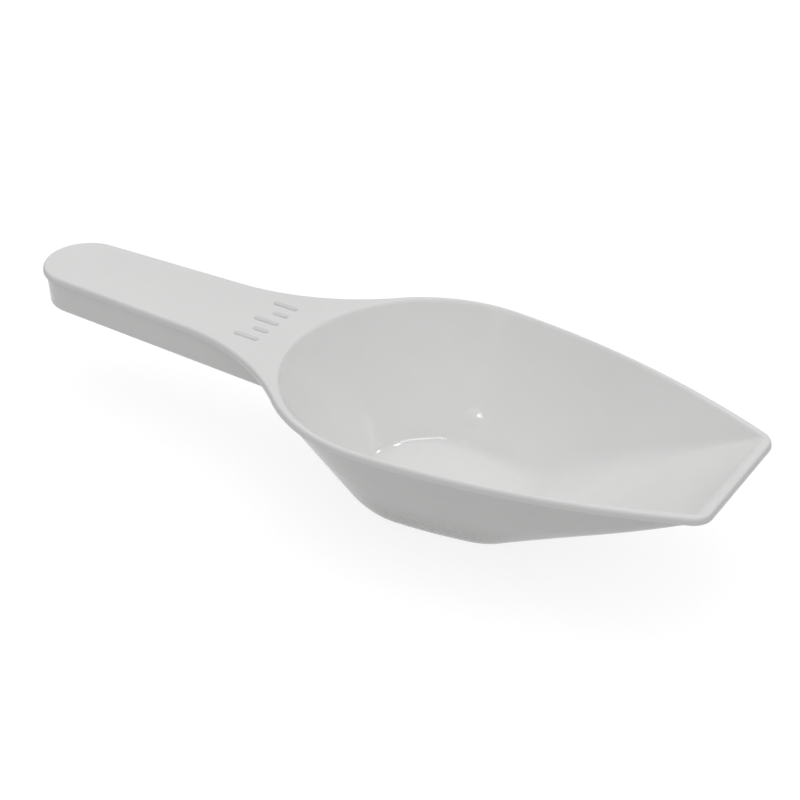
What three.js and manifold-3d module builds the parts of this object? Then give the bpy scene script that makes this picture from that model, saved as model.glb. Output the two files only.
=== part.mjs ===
// Ten millilitre measuring scoop with a pour lip, moulded in one piece of white plastic.
// Millimetres. +X runs from the handle to the lip, +Y to the left, +Z up.
// The origin is on the ground under the middle of the scoop, which stands on its flat floor.
import * as THREE from 'three';
import { mergeVertices } from 'three/addons/utils/BufferGeometryUtils.js';
import Module from 'manifold-3d';

// Overall size
const LENGTH = 88;
const DEPTH = 15;

// Flat top: handle plate, neck and rim, one flange around everything
const FLANGE = 0.8;
const END_RADIUS = 5;
const HANDLE_TAPER = THREE.MathUtils.degToRad(2.3);
const NECK_RADIUS = 27.4;
const SHOULDER_RADIUS = 18.6;
const SIDE_RADIUS = 98;
const SIDE_START = THREE.MathUtils.degToRad(3.4);
const LIP_CORNER = 2.3;

// Bowl: a round back, two long sides, a flat floor and a ramp to the lip
const BOWL_X = 52.3;
const BOWL_RADIUS = 16.9;
const RIM_LAND = 0.55;
const RIM_SWELL = 0.42;
const FLOOR = 1.25;
const LEAN = 0.63;
const LIP_THICKNESS = 1;
const LIP_LAND = 0.95;
const RAMP_FOOT_X = 62.8;
const OUTER_EASE = 2.2;
const INNER_EASE = 1.0;
const EASE_LEAN = 1.6;

// Skirt under the handle
const SKIRT_DEPTH = 4.6;
const SKIRT_INSET = 0.35;
const SKIRT_WALL = 0.9;

// Cuts that part the moulding into its working zones
const NECK_CUT_X = 21.5;
const RIM_CUT_X = 42;
const LIP_CUT_X = 84;
const FOOT_CUT = 1.3;

// Graduation ticks on the neck
const TICK_X = 30.8;
const TICK_COUNT = 5;
const TICK_PITCH = 1.9;
const TICK_LONG = 3.2;
const TICK_SHORT = 2.0;
const TICK_WIDTH = 0.6;
const TICK_HEIGHT = 0.15;

const BEYOND = 30;
const PROUD = 1;
const ARC_STEPS = 7;
const BACK_STEPS = 56;
const SIDE_STEPS = 180;
const SAME_POINT = 1e-3;
const RAMP_SLOPE = (DEPTH - LIP_THICKNESS) / (LENGTH - RAMP_FOOT_X);

const wasm = await Module();
wasm.setup();

function toSolid(geometry) {
  const bare = geometry.clone();
  bare.deleteAttribute('normal');
  bare.deleteAttribute('uv');
  const merged = mergeVertices(bare, 1e-5);
  return new wasm.Manifold(new wasm.Mesh({
    numProp: 3,
    vertProperties: new Float32Array(merged.attributes.position.array),
    triVerts: new Uint32Array(merged.index.array),
  }));
}

function toGeometry(solid) {
  const mesh = solid.getMesh();
  const geometry = new THREE.BufferGeometry();
  geometry.setAttribute('position', new THREE.BufferAttribute(new Float32Array(mesh.vertProperties), 3));
  geometry.setIndex(new THREE.BufferAttribute(new Uint32Array(mesh.triVerts), 1));
  const flat = geometry.toNonIndexed();
  flat.computeVertexNormals();
  return flat;
}

function boxBetween(low, high) {
  const size = new THREE.Vector3().subVectors(high, low);
  const centre = new THREE.Vector3().addVectors(low, high).multiplyScalar(0.5);
  const box = new THREE.BoxGeometry(size.x, size.y, size.z);
  box.translate(centre.x, centre.y, centre.z);
  return toSolid(box);
}

// Everything between two stations along X, two levels in Z and, if given, two limits in Y.
function zone(x0, x1, z0, z1, y0 = -BEYOND, y1 = BEYOND) {
  return boxBetween(new THREE.Vector3(x0, y0, z0), new THREE.Vector3(x1, y1, z1));
}

// A side view, drawn as [x, z] points, pulled out across the whole width.
function acrossWidth(profile) {
  const shape = new THREE.Shape(profile.map(([x, z]) => new THREE.Vector2(x, z)));
  const prism = new THREE.ExtrudeGeometry(shape, { depth: 2 * BEYOND, bevelEnabled: false });
  prism.rotateX(Math.PI / 2);
  prism.translate(0, BEYOND, 0);
  return toSolid(prism);
}

// The same outline as a plain polygon, with one point where two arcs meet.
function asPolygon(shape, arcSteps) {
  const points = shape.getPoints(arcSteps);
  const kept = points.filter((point, i) => point.distanceTo(points[(i + 1) % points.length]) > SAME_POINT);
  return new THREE.Shape(kept);
}

function slab(shape, z0, z1) {
  const plate = new THREE.ExtrudeGeometry(asPolygon(shape, ARC_STEPS), {
    depth: z1 - z0,
    bevelEnabled: false,
  });
  plate.translate(0, 0, z0);
  return toSolid(plate);
}

// The outline of the flat top: round handle end, slim handle, flared neck, bowl rim, square lip.
function topOutline() {
  const along = new THREE.Vector2(Math.cos(HANDLE_TAPER), Math.sin(HANDLE_TAPER));
  const outward = new THREE.Vector2(-along.y, along.x);
  const edge = new THREE.Vector2(END_RADIUS, 0).addScaledVector(outward, END_RADIUS);
  const shoulder = new THREE.Vector2(BOWL_X, BOWL_RADIUS - SHOULDER_RADIUS);

  // The neck arc touches the handle's edge and the shoulder.
  const base = edge.clone().addScaledVector(outward, NECK_RADIUS);
  const gap = new THREE.Vector2().subVectors(base, shoulder);
  const reach = NECK_RADIUS + SHOULDER_RADIUS;
  const b = gap.dot(along);
  const slide = -b - Math.sqrt(b * b - gap.lengthSq() + reach * reach);
  const neck = base.clone().addScaledVector(along, slide);
  const neckEnd = Math.atan2(shoulder.y - neck.y, shoulder.x - neck.x);

  // The long side arc leaves the shoulder and ends in a small corner arc at the lip.
  const leave = Math.PI / 2 - SIDE_START;
  const side = new THREE.Vector2(Math.cos(leave), Math.sin(leave))
    .multiplyScalar(SHOULDER_RADIUS - SIDE_RADIUS).add(shoulder);
  const cornerX = LENGTH - LIP_CORNER;
  const cornerReach = SIDE_RADIUS - LIP_CORNER;
  const cornerY = side.y + Math.sqrt(cornerReach ** 2 - (cornerX - side.x) ** 2);
  const sideEnd = Math.atan2(cornerY - side.y, cornerX - side.x);

  const shape = new THREE.Shape();
  const endAngle = Math.PI / 2 + HANDLE_TAPER;
  shape.absarc(END_RADIUS, 0, END_RADIUS, -endAngle, endAngle, true);
  shape.absarc(neck.x, neck.y, NECK_RADIUS, HANDLE_TAPER - Math.PI / 2, neckEnd, false);
  shape.absarc(shoulder.x, shoulder.y, SHOULDER_RADIUS, neckEnd + Math.PI, leave, true);
  shape.absarc(side.x, side.y, SIDE_RADIUS, leave, sideEnd, true);
  shape.absarc(cornerX, cornerY, LIP_CORNER, sideEnd, 0, true);
  shape.absarc(cornerX, -cornerY, LIP_CORNER, 0, -sideEnd, true);
  shape.absarc(side.x, -side.y, SIDE_RADIUS, -sideEnd, -leave, true);
  shape.absarc(shoulder.x, -shoulder.y, SHOULDER_RADIUS, -leave, -neckEnd - Math.PI, true);
  shape.absarc(neck.x, -neck.y, NECK_RADIUS, -neckEnd, Math.PI / 2 - HANDLE_TAPER, false);
  shape.closePath();
  return shape;
}

// A body turned about an upright axis: a leaning wall with an eased foot. `radius` is its size at the
// rim plane, which it stands a little proud of, so that it cuts clean through.
function turned(x, y, radius, depth, ease, segments) {
  const foot = radius - LEAN * (depth - ease);
  const profile = [
    [0, -depth],
    [foot - EASE_LEAN * ease, -depth],
    [foot, ease - depth],
    [radius + LEAN * PROUD, PROUD],
    [0, PROUD],
  ];
  const body = new THREE.LatheGeometry(profile.map(([r, z]) => new THREE.Vector2(r, z)), segments);
  body.rotateX(Math.PI / 2);
  body.translate(x, y, 0);
  return toSolid(body);
}

// A tapering plug below the rim plane, drawn in by `inset` from the bowl's outline. The back is one
// turned body. Each long side is part of a far larger one that touches it.
function plug(inset, depth, ease) {
  const leave = Math.PI / 2 - SIDE_START;
  const sideX = BOWL_X + (BOWL_RADIUS - SIDE_RADIUS) * Math.cos(leave);
  const sideY = (BOWL_RADIUS - SIDE_RADIUS) * Math.sin(leave);
  const back = turned(BOWL_X, 0, BOWL_RADIUS - inset, depth, ease, BACK_STEPS);
  const left = turned(sideX, sideY, SIDE_RADIUS - inset, depth, ease, SIDE_STEPS);
  const right = turned(sideX, -sideY, SIDE_RADIUS - inset, depth, ease, SIDE_STEPS);
  const front = left.intersect(right).intersect(zone(BOWL_X + 1, LENGTH + 1, -depth - 1, PROUD + 1));
  return back.add(front);
}

// The outside leaves the flange just inside its edge, and stays under it all round.
function bowlOuter() {
  const sideView = acrossWidth([
    [0, 0], [0, -DEPTH], [RAMP_FOOT_X, -DEPTH], [LENGTH, -LIP_THICKNESS], [LENGTH, 0],
  ]);
  const underTop = slab(topOutline(), -DEPTH, 0);
  return plug(-RIM_SWELL, DEPTH, OUTER_EASE).intersect(sideView).intersect(underTop);
}

// The space above the floor and the ramp, or above a level `rise` higher than both.
function aboveRamp(rise = 0) {
  const floorZ = FLOOR - DEPTH + rise;
  const topX = LENGTH - LIP_LAND - rise / RAMP_SLOPE;
  return acrossWidth([
    [0, PROUD], [0, floorZ], [topX + floorZ / RAMP_SLOPE, floorZ], [topX, 0], [topX, PROUD],
  ]);
}

function bowlInner() {
  return plug(RIM_LAND, DEPTH - FLOOR, INNER_EASE).intersect(aboveRamp());
}

// The U of the skirt, open towards the bowl.
function skirtRing(inset) {
  const radius = END_RADIUS - inset;
  const along = BOWL_X - END_RADIUS;
  const grow = along * Math.tan(HANDLE_TAPER);
  const angle = Math.PI / 2 + HANDLE_TAPER;
  const shape = new THREE.Shape();
  shape.absarc(END_RADIUS, 0, radius, -angle, angle, true);
  shape.lineTo(BOWL_X, radius + grow);
  shape.lineTo(BOWL_X, -radius - grow);
  shape.closePath();
  return slab(shape, -SKIRT_DEPTH, -FLANGE);
}

const outer = bowlOuter();
const inner = bowlInner();
const flange = slab(topOutline(), -FLANGE, 0).subtract(inner);
const shell = outer.subtract(inner);
const walls = shell.intersect(zone(0, LENGTH, -DEPTH, -FLANGE));
const skirt = skirtRing(SKIRT_INSET).subtract(skirtRing(SKIRT_INSET + SKIRT_WALL)).subtract(outer);

const plastic = { color: 0xdcdcdb, roughness: 0.42, metalness: 0 };
const scoop = new THREE.Group();
scoop.position.set(-LENGTH / 2, 0, DEPTH);

function addNode(name, solid) {
  const mesh = new THREE.Mesh(toGeometry(solid), new THREE.MeshStandardMaterial(plastic));
  mesh.name = name;
  scoop.add(mesh);
}

function addTop() {
  addNode('handle_plate', flange.intersect(zone(-1, NECK_CUT_X, -FLANGE, 0)));
  addNode('neck_plate', flange.intersect(zone(NECK_CUT_X, RIM_CUT_X, -FLANGE, 0)));
  const rim = flange.intersect(zone(RIM_CUT_X, LIP_CUT_X, -FLANGE, 0));
  addNode('rim_left', rim.intersect(zone(0, LENGTH, -FLANGE, 0, 0)));
  addNode('rim_right', rim.intersect(zone(0, LENGTH, -FLANGE, 0, -BEYOND, 0)));
}

function addLip() {
  const front = zone(LIP_CUT_X, LENGTH + 1, -DEPTH, 0);
  const below = shell.intersect(zone(0, LENGTH, -DEPTH, -FLANGE / 2));
  addNode('lip_edge', flange.add(below).intersect(front));
}

// The floor and the ramp each keep the low edge of the walls that they curve into.
function addBowl() {
  const above = aboveRamp(FOOT_CUT);
  const upright = walls.intersect(above);
  const low = walls.subtract(above).intersect(zone(0, LIP_CUT_X, -DEPTH - 1, 0));
  for (const [side, y0, y1] of [['left', 0, BEYOND], ['right', -BEYOND, 0]]) {
    addNode(`bowl_back_${side}`, upright.intersect(zone(0, BOWL_X, -DEPTH, 0, y0, y1)));
    addNode(`bowl_side_${side}`, upright.intersect(zone(BOWL_X, LENGTH, -DEPTH, 0, y0, y1)));
  }
  addNode('bowl_floor', low.intersect(zone(0, RAMP_FOOT_X, -DEPTH - 1, 0)));
  addNode('pour_ramp', low.intersect(zone(RAMP_FOOT_X, LENGTH, -DEPTH - 1, 0)));
}

function addSkirt() {
  addNode('skirt_end', skirt.intersect(zone(-1, END_RADIUS, -SKIRT_DEPTH, -FLANGE)));
  const sides = skirt.intersect(zone(END_RADIUS, BOWL_X, -SKIRT_DEPTH, -FLANGE));
  addNode('skirt_left', sides.intersect(zone(0, BOWL_X, -SKIRT_DEPTH, -FLANGE, 0)));
  addNode('skirt_right', sides.intersect(zone(0, BOWL_X, -SKIRT_DEPTH, -FLANGE, -BEYOND, 0)));
}

// Long and short ticks take turns across the neck.
function addTicks() {
  for (let i = 0; i < TICK_COUNT; i += 1) {
    const long = i % 2 === 0 ? TICK_LONG : TICK_SHORT;
    const y = (i - (TICK_COUNT - 1) / 2) * TICK_PITCH;
    const tick = new THREE.Mesh(
      new THREE.BoxGeometry(long, TICK_WIDTH, TICK_HEIGHT),
      new THREE.MeshStandardMaterial(plastic),
    );
    tick.name = `graduation_tick_${i + 1}`;
    tick.position.set(TICK_X + (TICK_LONG - long) / 2, y, TICK_HEIGHT / 2);
    scoop.add(tick);
  }
}

addTop();
addLip();
addBowl();
addSkirt();
addTicks();

export default scoop;
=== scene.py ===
import math
import bmesh
import bpy
from mathutils import Matrix, Vector


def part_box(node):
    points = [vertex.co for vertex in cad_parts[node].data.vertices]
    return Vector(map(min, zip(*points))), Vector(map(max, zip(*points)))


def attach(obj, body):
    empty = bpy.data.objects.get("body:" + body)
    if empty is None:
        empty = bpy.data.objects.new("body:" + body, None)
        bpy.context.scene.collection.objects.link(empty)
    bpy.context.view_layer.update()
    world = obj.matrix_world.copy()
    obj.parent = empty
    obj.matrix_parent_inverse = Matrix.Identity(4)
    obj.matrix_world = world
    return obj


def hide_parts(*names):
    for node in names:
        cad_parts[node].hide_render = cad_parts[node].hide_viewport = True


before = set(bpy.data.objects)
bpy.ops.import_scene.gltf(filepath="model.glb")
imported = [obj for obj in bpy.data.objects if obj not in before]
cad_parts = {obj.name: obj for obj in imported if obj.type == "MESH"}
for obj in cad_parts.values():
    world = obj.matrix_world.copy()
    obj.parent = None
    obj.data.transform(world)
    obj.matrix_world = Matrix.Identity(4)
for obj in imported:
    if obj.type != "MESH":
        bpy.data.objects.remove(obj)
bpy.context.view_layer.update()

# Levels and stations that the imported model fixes, in metres
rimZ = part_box("handle_plate")[1].z
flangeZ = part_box("handle_plate")[0].z
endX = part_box("handle_plate")[0].x
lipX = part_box("lip_edge")[1].x
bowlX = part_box("bowl_back_left")[1].x
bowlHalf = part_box("rim_left")[1].y
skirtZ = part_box("skirt_left")[0].z
flangeDepth = rimZ - flangeZ

plan = {  # the outline from above, made of arcs that touch
    "endRadius": 0.005,
    "taper": math.radians(2.3),
    "neckRadius": 0.0274,
    "shoulderRadius": 0.0186,
    "sideRadius": 0.098,
    "sideStart": math.radians(3.4),
    "cornerRadius": 0.0023,
}


def arcPoint(centre, radius, angle):
    return centre + Vector((math.cos(angle), math.sin(angle))) * radius


def planCentres():
    # Centres and angles of every arc of the left half, from the lip back to the handle end
    along = Vector((math.cos(plan["taper"]), math.sin(plan["taper"])))
    outward = Vector((-along.y, along.x))
    end = Vector((endX + plan["endRadius"], 0))
    shoulder = Vector((bowlX, bowlHalf - plan["shoulderRadius"]))
    base = end + outward * (plan["endRadius"] + plan["neckRadius"])
    gap = base - shoulder
    reach = plan["neckRadius"] + plan["shoulderRadius"]
    b = gap.dot(along)
    neck = base + along * (-b - math.sqrt(b * b - gap.length_squared + reach * reach))
    leave = math.pi / 2 - plan["sideStart"]
    side = arcPoint(shoulder, plan["shoulderRadius"] - plan["sideRadius"], leave)
    cornerX = lipX - plan["cornerRadius"]
    cornerReach = plan["sideRadius"] - plan["cornerRadius"]
    corner = Vector((cornerX, side.y + math.sqrt(cornerReach ** 2 - (cornerX - side.x) ** 2)))
    sideEnd = math.atan2(corner.y - side.y, corner.x - side.x)
    neckEnd = math.atan2(shoulder.y - neck.y, shoulder.x - neck.x)
    return {"end": end, "neck": neck, "shoulder": shoulder, "side": side, "corner": corner,
            "leave": leave, "sideEnd": sideEnd, "neckEnd": neckEnd}


centres = planCentres()


def spread(start, stop, count, power=1.0):
    # count values from start towards stop, closer together near start when power is over 1
    return [start + (stop - start) * (i / count) ** power for i in range(count)]


def outlineHalf(inset):
    # Left half of the flat top's outline, drawn in by inset, from the lip's middle to the handle end
    c = centres
    front = lipX - inset
    points = [Vector((front, y)) for y in spread(0, c["corner"].y, 24)]
    points += [arcPoint(c["corner"], plan["cornerRadius"] - inset, a) for a in spread(0, c["sideEnd"], 16)]
    points += [arcPoint(c["side"], plan["sideRadius"] - inset, a)
               for a in spread(c["sideEnd"], c["leave"], 60)]
    shoulderEnd = c["neckEnd"] + math.pi
    points += [arcPoint(c["shoulder"], plan["shoulderRadius"] - inset, a)
               for a in spread(c["leave"], shoulderEnd, 40)]
    neckStart = plan["taper"] - math.pi / 2
    neckEdge = plan["neckRadius"] + inset
    points += [arcPoint(c["neck"], neckEdge, a) for a in spread(c["neckEnd"], neckStart, 40)]
    endAngle = math.pi / 2 + plan["taper"]
    edgeStart = arcPoint(c["neck"], neckEdge, neckStart)
    edgeStop = arcPoint(c["end"], plan["endRadius"] - inset, endAngle)
    points += [edgeStart.lerp(edgeStop, t) for t in spread(0, 1, 24)]
    points += [arcPoint(c["end"], plan["endRadius"] - inset, a) for a in spread(endAngle, math.pi, 36)]
    points.append(Vector((endX + inset, 0)))
    return points


def closeUp(half):
    # The left half and its mirror image as one ring
    return half + [Vector((p.x, -p.y)) for p in reversed(half[1:-1])]


def softMin(a, b, width):
    # The smaller of two levels, eased where they come within width of each other
    meet = max(width - abs(a - b), 0) / width
    return min(a, b) - meet * meet * width / 4


bowl = {
    "lean": 0.63,  # wall drift per unit of depth
    "land": 0.00055,  # flat rim between the outline and the cavity
    "lipLand": 0.0003,  # what the rim gains towards the lip
    "lipLandFrom": 0.018,  # where that gain starts, and over what length
    "lipLandRun": 0.022,
    "swell": 0.00042,  # the outside wall would pass this far outside the outline at the rim
    "cavityDepth": rimZ - 0.00125,
    "rampTop": lipX - 0.00095,
    "rampFoot": 0.0183,
    "underTop": lipX - 0.0003,
    "underFoot": 0.0188,
    "rimEase": 0.00015,
    "floorEase": 0.0008,
    "creaseEase": (0.0004, 0.0024),  # at the lip, at the ramp's foot
    "underEase": (0.003, 0.0062, 0.0024),  # at the back, at the sides, at the lip
    "bendEase": 0.0009,
    "roundPast": 0.001,  # the round back is followed this far past its middle
    "floorBlend": (0.002, 0.009),  # start ahead of the ramp's foot, and length
    "sideBlend": (0.0006, 0.025),  # start behind the bowl's middle, and length
    "cornerTuck": 0.0003,  # what the outside stays within the lip's corner
}


def mix(a, b, t):
    t = min(max(t, 0), 1)
    return a + (b - a) * t * t * (3 - 2 * t)


def lipLand(x):
    return mix(0, bowl["lipLand"], (x - bowl["lipLandFrom"]) / bowl["lipLandRun"])


def wallDepth(x, y, land):
    # Depth at which the leaning wall passes under a point
    if x < bowlX + bowl["roundPast"]:
        inset = bowlHalf - math.hypot(x - bowlX, y)
    else:
        inset = plan["sideRadius"] - math.hypot(x - centres["side"].x, abs(y) - centres["side"].y)
    return (inset - land) / bowl["lean"]


def slopeOf(topX, footX, depth):
    return depth / (topX - footX)


cavitySlope = slopeOf(bowl["rampTop"], bowl["rampFoot"], bowl["cavityDepth"])
underSlope = slopeOf(bowl["underTop"], bowl["underFoot"], rimZ - flangeDepth)


def bowlRing(inset, frontX, inner):
    # Ring round the bowl, closer spaced where the side meets the ramp
    side = plan["sideRadius"] - inset
    frontAngle = math.acos((frontX - centres["side"].x) / side)
    corner = arcPoint(centres["side"], side, frontAngle)
    line = [Vector((frontX, corner.y - y)) for y in spread(0, corner.y, 30, 1.6)]
    half = [Vector((frontX, 0))] + list(reversed(line[1:]))
    half += [arcPoint(centres["side"], side, a) for a in spread(frontAngle, centres["leave"], 80, 1.6)]
    half += [arcPoint(Vector((bowlX, 0)), bowlHalf - inset, a) for a in spread(centres["leave"], math.pi, 70)]
    half.append(Vector((bowlX - bowlHalf + inset, 0)))
    if inner:
        for point in half:
            point.y -= lipLand(point.x) * min(point.y / corner.y, 1)
    return closeUp(half)


def cavityZ(x, y):
    topX, footX = bowl["rampTop"], bowl["rampFoot"]
    base = softMin(bowl["cavityDepth"], (topX - x) * cavitySlope, bowl["bendEase"])
    lipEase, footEase = bowl["creaseEase"]
    ahead, length = bowl["floorBlend"]
    ease = mix(lipEase, footEase, (topX - x) / (topX - footX))
    ease = mix(ease, bowl["floorEase"], (footX + ahead - x) / length)
    depth = softMin(wallDepth(x, y, bowl["land"] + lipLand(x)), base, ease)
    return rimZ + softMin(-depth, 0, bowl["rimEase"])


def underZ(x, y):
    topX, footX = bowl["underTop"], bowl["underFoot"]
    base = softMin(rimZ, flangeDepth + (topX - x) * underSlope, bowl["bendEase"])
    backEase, sideEase, lipEase = bowl["underEase"]
    behind, length = bowl["sideBlend"]
    ease = mix(backEase, sideEase, (x - bowlX + behind) / length)
    ease = mix(ease, lipEase, (x - footX) / (lipX - footX))
    return rimZ - softMin(wallDepth(x, y, -bowl["swell"]), base, ease)


def tuck(point):
    # Keeps the outside of the lip's corner behind the rounded corner of the flat top
    middle = Vector((centres["corner"].x, math.copysign(centres["corner"].y, point.y)))
    away = point - middle
    limit = plan["cornerRadius"] - bowl["cornerTuck"]
    if away.x > 0 and abs(point.y) > centres["corner"].y and away.length > limit:
        return middle + away * (limit / away.length)
    return point


def startRing(bm, places):
    ring = bmesh.ops.create_circle(bm, cap_ends=False, segments=len(places), radius=1)
    for vert, place in zip(ring["verts"], places):
        vert.co = place
    return list({e for v in ring["verts"] for e in v.link_edges})


def nextRing(bm, edges, order, places):
    # Extrudes the last ring and moves each new vertex to its place
    grown = bmesh.ops.extrude_edge_only(bm, edges=edges)["geom"]
    verts = [g for g in grown if isinstance(g, bmesh.types.BMVert)]
    for vert in verts:
        vert.co = places[vert[order]]
    return [g for g in grown if isinstance(g, bmesh.types.BMEdge) and len(g.link_faces) == 1]


def loft(bm, rings):
    # Skins a list of rings that have the same number of places; returns its first and last edges
    order = bm.verts.layers.int["order"]
    edges = startRing(bm, rings[0])
    bm.verts.ensure_lookup_table()
    for i, vert in enumerate(bm.verts[-len(rings[0]):]):
        vert[order] = i
    first = edges
    for places in rings[1:]:
        edges = nextRing(bm, edges, order, places)
    return first, edges


def newBmesh():
    bm = bmesh.new()
    bm.verts.layers.int.new("order")
    return bm


def finishPiece(bm, name, smoothAngle=35):
    bmesh.ops.recalc_face_normals(bm, faces=bm.faces)
    mesh = bpy.data.meshes.new(name)
    bm.to_mesh(mesh)
    bm.free()
    mesh.shade_smooth()
    mesh.set_sharp_from_angle(angle=math.radians(smoothAngle))
    piece = bpy.data.objects.new(name, mesh)
    bpy.context.scene.collection.objects.link(piece)
    return piece


edge = {
    "topRound": (0.00036, 0.0007),  # across the top, down the side
    "bottomRound": 0.00004,
    "hold": 0.00002,  # narrow flat band that keeps the flats flat in shading
}


def flangeRings():
    places = []
    (across, down), low, hold = edge["topRound"], edge["bottomRound"], edge["hold"]
    profile = [(across + hold, 0)]
    profile += [(across * (1 - math.sin(a)), down * (1 - math.cos(a))) for a in spread(0, math.pi / 2, 9)]
    profile += [(0, down), (0, flangeDepth - low), (low * 0.3, flangeDepth - low * 0.3),
                (low, flangeDepth), (low + hold, flangeDepth)]
    for inset, depth in profile:
        places.append([p.to_3d() + Vector((0, 0, rimZ - depth)) for p in closeUp(outlineHalf(inset))])
    return places


def steps(start, stop, size):
    count = max(round((stop - start) / size), 1)
    return [start + (stop - start) * i / count for i in range(count)]


spacing = {  # depth between neighbouring rings, and how far the close ones reach
    "rimMargin": 0.00001,
    "rimStep": 0.00003,
    "wallStep": 0.0005,
    "cavityFoot": (0.0024, 0.0012, 0.0001),  # above the floor, below it, step
    "underFoot": (0.0045, 0.0022, 0.00015),
    "underStart": 0.0001,
}


def cavityRings():
    rim, foot = bowl["rimEase"] + spacing["rimMargin"], bowl["cavityDepth"]
    above, below, size = spacing["cavityFoot"]
    levels = steps(-rim, rim, spacing["rimStep"])
    levels += steps(rim, foot - above, spacing["wallStep"])
    levels += steps(foot - above, foot + below, size)
    places = []
    for depth in levels:
        frontX = bowl["rampTop"] - depth / cavitySlope
        ring = bowlRing(bowl["land"] + bowl["lean"] * depth, frontX, True)
        places.append([Vector((p.x, p.y, cavityZ(p.x, p.y))) for p in ring])
    return places


def underRings():
    above, below, size = spacing["underFoot"]
    levels = [flangeDepth]
    levels += steps(flangeDepth + spacing["underStart"], rimZ - above, spacing["wallStep"])
    levels += steps(rimZ - above, rimZ + below, size)
    places = []
    for depth in levels:
        frontX = bowl["underTop"] - (depth - flangeDepth) / underSlope
        ring = [tuck(p) for p in bowlRing(bowl["lean"] * depth - bowl["swell"], frontX, False)]
        places.append([Vector((p.x, p.y, underZ(p.x, p.y))) for p in ring])
    for place in places[0]:
        place.z = flangeZ
    return places


def buildShell():
    bm = newBmesh()
    flangeTop, flangeBottom = loft(bm, flangeRings())
    mouth, cavityFoot = loft(bm, cavityRings())
    collar, underFoot = loft(bm, underRings())
    bmesh.ops.triangle_fill(bm, use_beauty=True, edges=flangeTop + mouth, normal=(0, 0, 1))
    bmesh.ops.triangle_fill(bm, use_beauty=True, edges=flangeBottom + collar, normal=(0, 0, -1))
    bmesh.ops.edgeloop_fill(bm, edges=cavityFoot)
    bmesh.ops.edgeloop_fill(bm, edges=underFoot)
    return finishPiece(bm, "scoop_shell")


skirt = {
    "inset": 0.00035,
    "wall": 0.0009,
    "draft": 0.0002,
    "round": 0.00022,
    "sink": 0.0003,  # how far it runs up into the plate
    "reach": 0.03695,  # length at the top, from the handle end to the bowl's back wall
    "reachLean": 0.66,  # what it gains per unit of depth, as that wall leans away
}


def skirtHalf(inset, depth):
    # Left side of the skirt from the bowl's back wall to the handle end
    c = centres
    reach = skirt["reach"] + endX + skirt["reachLean"] * (depth - flangeDepth)
    angle = math.pi / 2 + plan["taper"]
    touch = arcPoint(c["end"], plan["endRadius"] - inset, angle)
    far = Vector((reach, touch.y + (reach - touch.x) * math.tan(plan["taper"])))
    half = [far.lerp(touch, t) for t in spread(0, 1, 20)]
    half += [arcPoint(c["end"], plan["endRadius"] - inset, a) for a in spread(angle, math.pi, 40)]
    return half + [Vector((endX + inset, 0))]


def skirtRings():
    deep = rimZ - skirtZ
    r, top = skirt["round"], flangeDepth - skirt["sink"]
    profile = [(0, top), (0, deep - r)]
    profile += [(r * (1 - math.cos(a)), deep - r * (1 - math.sin(a)))
                for a in spread(math.pi / 12, math.pi / 2, 5)]
    profile += [(r, deep), (r + edge["hold"], deep)]
    places = []
    for ease, depth in profile:
        drift = skirt["draft"] * (depth - top) / (deep - top)
        outer = skirtHalf(skirt["inset"] + drift + ease, depth)
        inner = skirtHalf(skirt["inset"] + skirt["wall"] - ease, depth)
        ring = outer + [Vector((p.x, -p.y)) for p in reversed(outer[:-1])]
        ring += [Vector((p.x, -p.y)) for p in inner] + list(reversed(inner[:-1]))
        places.append([p.to_3d() + Vector((0, 0, rimZ - depth)) for p in ring])
    return places


def buildSkirt():
    bm = newBmesh()
    top, bottom = loft(bm, skirtRings())
    bmesh.ops.triangle_fill(bm, use_beauty=True, edges=top, normal=(0, 0, 1))
    bmesh.ops.triangle_fill(bm, use_beauty=True, edges=bottom, normal=(0, 0, -1))
    return finishPiece(bm, "handle_skirt")


tick = {"roundSteps": 12, "topEase": 0.00008, "sink": 0.0001, "sharp": 40}


def buildTick(node):
    # A raised bar with round ends, as long and wide as its CAD node
    low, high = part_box(node)
    middle = (low + high) / 2
    radius = (high.y - low.y) / 2
    stretch = (high.x - low.x) / 2 - radius
    bm = bmesh.new()
    bmesh.ops.create_circle(bm, cap_ends=True, segments=4 * tick["roundSteps"], radius=radius)
    for vert in bm.verts:
        vert.co.x += math.copysign(stretch, vert.co.x) if abs(vert.co.x) > 1e-7 else 0
    grown = bmesh.ops.extrude_face_region(bm, geom=bm.faces[:])["geom"]
    top = [g for g in grown if isinstance(g, bmesh.types.BMVert)]
    bmesh.ops.translate(bm, verts=top, vec=(0, 0, high.z - low.z + tick["sink"]))
    rim = [e for e in bm.edges if all(v in top for v in e.verts)]
    bmesh.ops.bevel(bm, geom=rim, offset=tick["topEase"], segments=4, profile=0.5,
                    affect="EDGES", clamp_overlap=True, material=-1)
    bmesh.ops.translate(bm, verts=bm.verts, vec=(middle.x, middle.y, low.z - tick["sink"]))
    return finishPiece(bm, node + "_bar", tick["sharp"])


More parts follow.
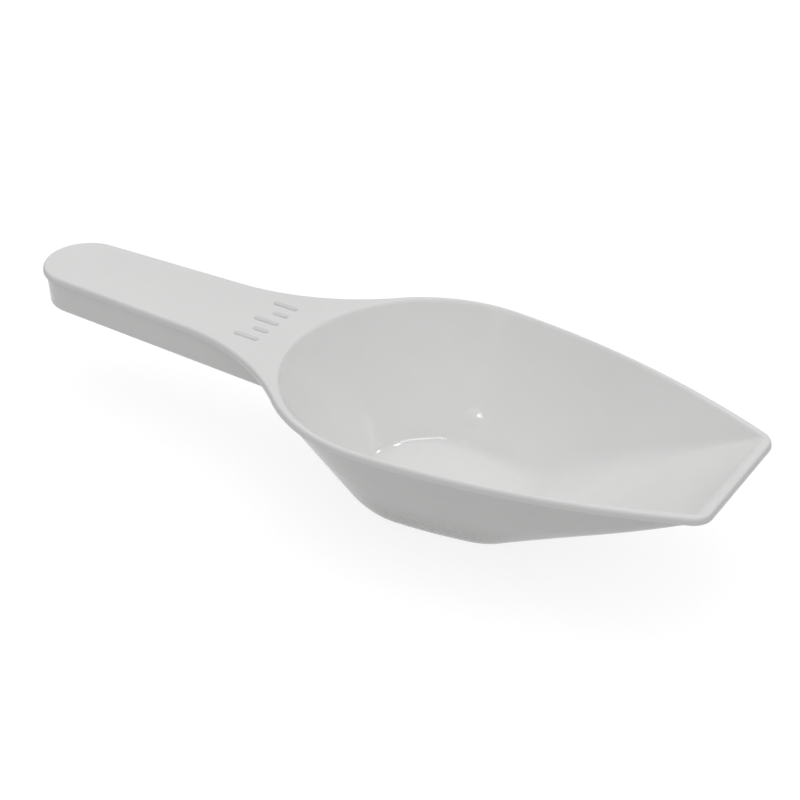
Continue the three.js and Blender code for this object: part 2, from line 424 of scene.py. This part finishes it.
plastic = {
    "light": (0.88, 0.88, 0.875, 1),
    "dark": (0.84, 0.84, 0.835, 1),
    "tick": (0.79, 0.79, 0.785, 1),  # the ticks, painted darker as shade on their raised relief
    "tickDark": (0.73, 0.73, 0.725, 1),
    "footShade": (0.62, 0.62, 0.61, 1),  # the foot's outside, painted darker as shade near the floor
    "footShadeHeights": (0.0025, 0.0065),  # full up to the first, gone at the second
    "footShadeShare": 0.9,
    "footShadeFacing": (-0.25, -0.5),  # only where the surface faces down at least this much
    "topBand": (0.0004, 0.0001),  # the satin top fades in between these depths
    "rampOfNoise": (0.3, 0.7),
    "satin": (0.42, 0.55),  # roughness of the flat top, finest to coarsest
    "polished": (0.1, 0.14),  # roughness of the bowl and the skirt
    "grain": 2200,  # fine texture
    "flow": 60,  # broad drift of tone
    "sink": 200,  # slight hollows in the walls
    "bump": 0.1,
    "sinkBump": 0.2,
    "mark": (0.0083, 0.0096, 0.0041),  # a small flow mark on the left wall
    "markReach": 0.0015,
    "markRise": 0.0001,
}


def link(tree, source, target):
    tree.links.new(source, target)


def noise(tree, coords, scale, detail, roughness=0.5):
    node = tree.nodes.new("ShaderNodeTexNoise")
    node.inputs["Scale"].default_value = scale
    node.inputs["Detail"].default_value = detail
    node.inputs["Roughness"].default_value = roughness
    link(tree, coords, node.inputs["Vector"])
    return node.outputs["Fac"]


def mapRange(tree, value, fromLow, fromHigh, toLow, toHigh):
    node = tree.nodes.new("ShaderNodeMapRange")
    node.inputs["From Min"].default_value = fromLow
    node.inputs["From Max"].default_value = fromHigh
    node.inputs["To Min"].default_value = toLow
    node.inputs["To Max"].default_value = toHigh
    link(tree, value, node.inputs["Value"])
    return node.outputs["Result"]


def blend(tree, fac, a, b):
    node = tree.nodes.new("ShaderNodeMix")
    for socket, value in ((node.inputs["A"], a), (node.inputs["B"], b)):
        link(tree, value, socket)
    link(tree, fac, node.inputs["Factor"])
    return node.outputs["Result"]


def times(tree, a, b):
    node = tree.nodes.new("ShaderNodeMath")
    node.operation = "MULTIPLY"
    link(tree, a, node.inputs[0])
    link(tree, b, node.inputs[1])
    return node.outputs["Value"]


def tones(tree, value, dark, light):
    node = tree.nodes.new("ShaderNodeValToRGB")
    for stop, place, colour in zip(node.color_ramp.elements, plastic["rampOfNoise"], (dark, light)):
        stop.position = place
        stop.color = colour
    link(tree, value, node.inputs["Fac"])
    return node.outputs["Color"]


def bumpOn(tree, height, strength, distance, below=None):
    node = tree.nodes.new("ShaderNodeBump")
    node.inputs["Strength"].default_value = strength
    node.inputs["Distance"].default_value = distance
    link(tree, height, node.inputs["Height"])
    if below:
        link(tree, below, node.inputs["Normal"])
    return node.outputs["Normal"]


def whitePlastic(name, light, dark):
    material = bpy.data.materials.new(name)
    material.use_nodes = True
    tree = material.node_tree
    shader = tree.nodes["Principled BSDF"]
    places = tree.nodes.new("ShaderNodeTexCoord")
    coords = places.outputs["Object"]
    split = tree.nodes.new("ShaderNodeSeparateXYZ")
    link(tree, coords, split.inputs["Vector"])
    facing = tree.nodes.new("ShaderNodeSeparateXYZ")
    link(tree, places.outputs["Normal"], facing.inputs["Vector"])
    bandLow, bandHigh = plastic["topBand"]
    onTop = mapRange(tree, split.outputs["Z"], rimZ - bandLow, rimZ - bandHigh, 0, 1)
    flow = noise(tree, coords, plastic["flow"], 4, 0.55)
    grain = noise(tree, coords, plastic["grain"], 3, 0.6)
    sink = noise(tree, coords, plastic["sink"], 1, 0.4)
    # Painted shade: low down, where the surface faces down, the outside is darkened towards a mottled grey
    # tone, standing in for the shade near the floor
    low = mapRange(tree, split.outputs["Z"], *plastic["footShadeHeights"], plastic["footShadeShare"], 0)
    under = mapRange(tree, facing.outputs["Z"], *plastic["footShadeFacing"], 0, 1)
    footShadeMask = times(tree, low, under)
    footShadeTone = tones(tree, grain, plastic["footShade"], dark)
    colour = tree.nodes.new("ShaderNodeMix")
    colour.data_type = "RGBA"
    link(tree, footShadeMask, colour.inputs["Factor"])
    link(tree, tones(tree, flow, dark, light), colour.inputs[6])
    link(tree, footShadeTone, colour.inputs[7])
    link(tree, colour.outputs[2], shader.inputs["Base Color"])
    polished = mapRange(tree, grain, *plastic["rampOfNoise"], *plastic["polished"])
    satin = mapRange(tree, grain, *plastic["rampOfNoise"], *plastic["satin"])
    link(tree, blend(tree, onTop, polished, satin), shader.inputs["Roughness"])
    hollows = bumpOn(tree, sink, plastic["sinkBump"], 0.0004)
    apart = tree.nodes.new("ShaderNodeVectorMath")
    apart.operation = "DISTANCE"
    apart.inputs[1].default_value = plastic["mark"]
    link(tree, coords, apart.inputs[0])
    near = mapRange(tree, apart.outputs["Value"], 0, plastic["markReach"], 1, 0)
    near.node.interpolation_type = "SMOOTHSTEP"
    marked = bumpOn(tree, near, 1, plastic["markRise"], hollows)
    link(tree, bumpOn(tree, grain, plastic["bump"], 0.00004, marked), shader.inputs["Normal"])
    shader.inputs["IOR"].default_value = 1.49
    shader.inputs["Subsurface Weight"].default_value = 0.1
    shader.inputs["Subsurface Radius"].default_value = (1.0, 1.0, 0.95)
    shader.inputs["Subsurface Scale"].default_value = 0.0006
    return material


floorLook = {"colour": (0.35, 0.35, 0.35, 1), "size": 1.2, "glow": 0.76}


def buildFloor():
    bm = bmesh.new()
    bmesh.ops.create_grid(bm, x_segments=1, y_segments=1, size=floorLook["size"])
    mesh = bpy.data.meshes.new("floor")
    bm.to_mesh(mesh)
    bm.free()
    floor = bpy.data.objects.new("floor", mesh)
    bpy.context.scene.collection.objects.link(floor)
    material = bpy.data.materials.new("pale_floor")
    material.use_nodes = True
    shader = material.node_tree.nodes["Principled BSDF"]
    shader.inputs["Base Color"].default_value = floorLook["colour"]
    shader.inputs["Roughness"].default_value = 0.9
    shader.inputs["Emission Color"].default_value = (1, 1, 1, 1)
    shader.inputs["Emission Strength"].default_value = floorLook["glow"]
    mesh.materials.append(material)
    floor.visible_diffuse = False  # the pale floor shows white without lighting the scoop from below
    floor.visible_glossy = False
    floor.visible_shadow = False


lights = {  # each lamp: direction and height in degrees, distance, width, height and power
    # The world's level at steps from straight below to straight overhead
    "sky": [(0.0, 0.34), (0.25, 0.84), (0.4, 0.02), (0.5, 0.38), (0.7, 0.41), (1.0, 1.13)],
    "top": (90, 80, 0.8, 0.5, 0.5, 0.26),
    "soft": (-45, 46, 0.8, 0.9, 0.03, 1.4),
    "spotA": (5, 48, 0.7, 0.02, 0.02, 1.0),
    "spotB": (33, 31, 0.7, 0.02, 0.02, 0.8),
    "spotC": (-115, 36, 0.4, 0.02, 0.02, 0.045),
}


def addLamp(name):
    azimuth, height, distance, wide, high, power = lights[name]
    data = bpy.data.lights.new(name, "AREA")
    data.shape = "RECTANGLE"
    data.size, data.size_y = wide, high
    data.energy = power
    lamp = bpy.data.objects.new(name, data)
    lamp.visible_diffuse = name == "top"  # the others only draw highlights
    az, el = math.radians(azimuth), math.radians(height)
    place = Vector((math.cos(az) * math.cos(el), math.sin(az) * math.cos(el), math.sin(el))) * distance
    lamp.location = place
    lamp.rotation_mode = "QUATERNION"
    lamp.rotation_quaternion = place.to_track_quat("Z", "Y")
    bpy.context.scene.collection.objects.link(lamp)


def buildLights():
    world = bpy.data.worlds.new("studio")
    world.use_nodes = True
    tree = world.node_tree
    sky = tree.nodes.new("ShaderNodeSeparateXYZ")
    link(tree, tree.nodes.new("ShaderNodeTexCoord").outputs["Generated"], sky.inputs[0])
    height = tree.nodes.new("ShaderNodeMapRange")
    height.inputs["From Min"].default_value = -1
    link(tree, sky.outputs["Z"], height.inputs["Value"])
    fade = tree.nodes.new("ShaderNodeValToRGB")
    fade.color_ramp.elements[1].position = lights["sky"][-1][0]
    while len(fade.color_ramp.elements) < len(lights["sky"]):
        fade.color_ramp.elements.new(0.5)
    for stop, (place, level) in zip(fade.color_ramp.elements, lights["sky"]):
        stop.position = place
        stop.color = (level, level, level, 1)
    link(tree, height.outputs["Result"], fade.inputs["Fac"])
    link(tree, fade.outputs["Color"], tree.nodes["Background"].inputs["Color"])
    bpy.context.scene.world = world
    for name in ("top", "soft", "spotA", "spotB", "spotC"):
        addLamp(name)
    bpy.context.scene.view_settings.view_transform = "Standard"


view = {
    "azimuth": math.radians(32.13),
    "elevation": math.radians(32.64),
    "distance": 0.2143,
    "lens": 89.3,
    "right": 0.00366,  # the aim point, from the middle of the rim plane
    "up": -0.00496,
}


def buildCamera():
    az, el = view["azimuth"], view["elevation"]
    back = Vector((math.sin(az) * math.cos(el), -math.cos(az) * math.cos(el), math.sin(el)))
    right = Vector((math.cos(az), math.sin(az), 0))
    up = back.cross(right)
    aim = Vector(((endX + lipX) / 2, 0, rimZ)) + right * view["right"] + up * view["up"]
    data = bpy.data.cameras.new("camera")
    data.lens = view["lens"]
    data.sensor_width = 36
    data.clip_start = 0.01
    data.clip_end = 10
    camera = bpy.data.objects.new("camera", data)
    turn = Matrix((right, up, back)).transposed()
    camera.matrix_world = Matrix.Translation(aim + back * view["distance"]) @ turn.to_4x4()
    bpy.context.scene.collection.objects.link(camera)
    bpy.context.scene.camera = camera


buildCamera()
buildFloor()
buildLights()
print("stage ready")

white = whitePlastic("white_moulded_plastic", plastic["light"], plastic["dark"])
# The ticks' plastic is a darker copy of the white one: painted shade on their raised relief
tickShadePlastic = whitePlastic("white_plastic_painted_shade", plastic["tick"], plastic["tickDark"])
tickNodes = [f"graduation_tick_{i}" for i in range(1, 6)]
skirtNodes = ["skirt_end", "skirt_left", "skirt_right"]
shellNodes = [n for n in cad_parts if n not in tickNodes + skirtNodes]


def place(piece, material, *nodes):
    piece.data.materials.append(material)
    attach(piece, "root")
    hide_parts(*nodes)


place(buildShell(), white, *shellNodes)
print("shell ready")
place(buildSkirt(), white, *skirtNodes)
print("skirt ready")
for node in tickNodes:
    place(buildTick(node), tickShadePlastic, node)
print("ticks ready")
